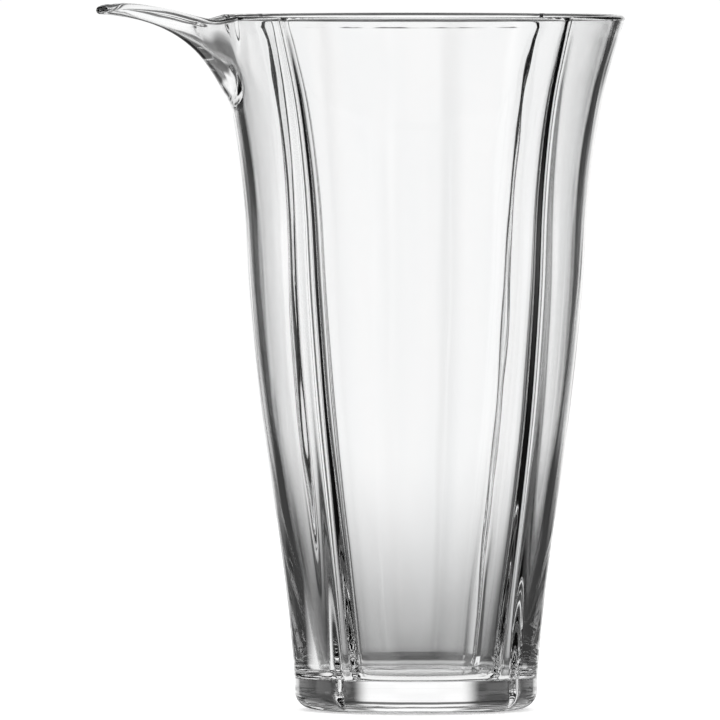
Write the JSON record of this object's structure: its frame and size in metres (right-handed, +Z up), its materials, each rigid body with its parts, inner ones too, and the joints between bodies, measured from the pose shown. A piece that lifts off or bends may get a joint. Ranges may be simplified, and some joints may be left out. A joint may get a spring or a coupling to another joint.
{
  "type": "mixing glass",
  "caption": "Clear four-lobed mixing glass, flared from a thick solid foot, with a long open pouring beak drawn out of its melted rim.",
  "frame": {"origin": "centre of the flat resting face under the foot", "axes": "+Z up along the axis of the body, the beak along -X, so the glass is nearly its own mirror image across the XZ plane"},
  "size_m": [0.1296, 0.1022, 0.173],
  "materials": {
    "clear_glass": "polished, colourless"
  },
  "bodies": {
    "root": {"foot": "clear_glass", "wall": "clear_glass", "beak": "clear_glass", "lip": "clear_glass"}
  },
  "joints": []
}
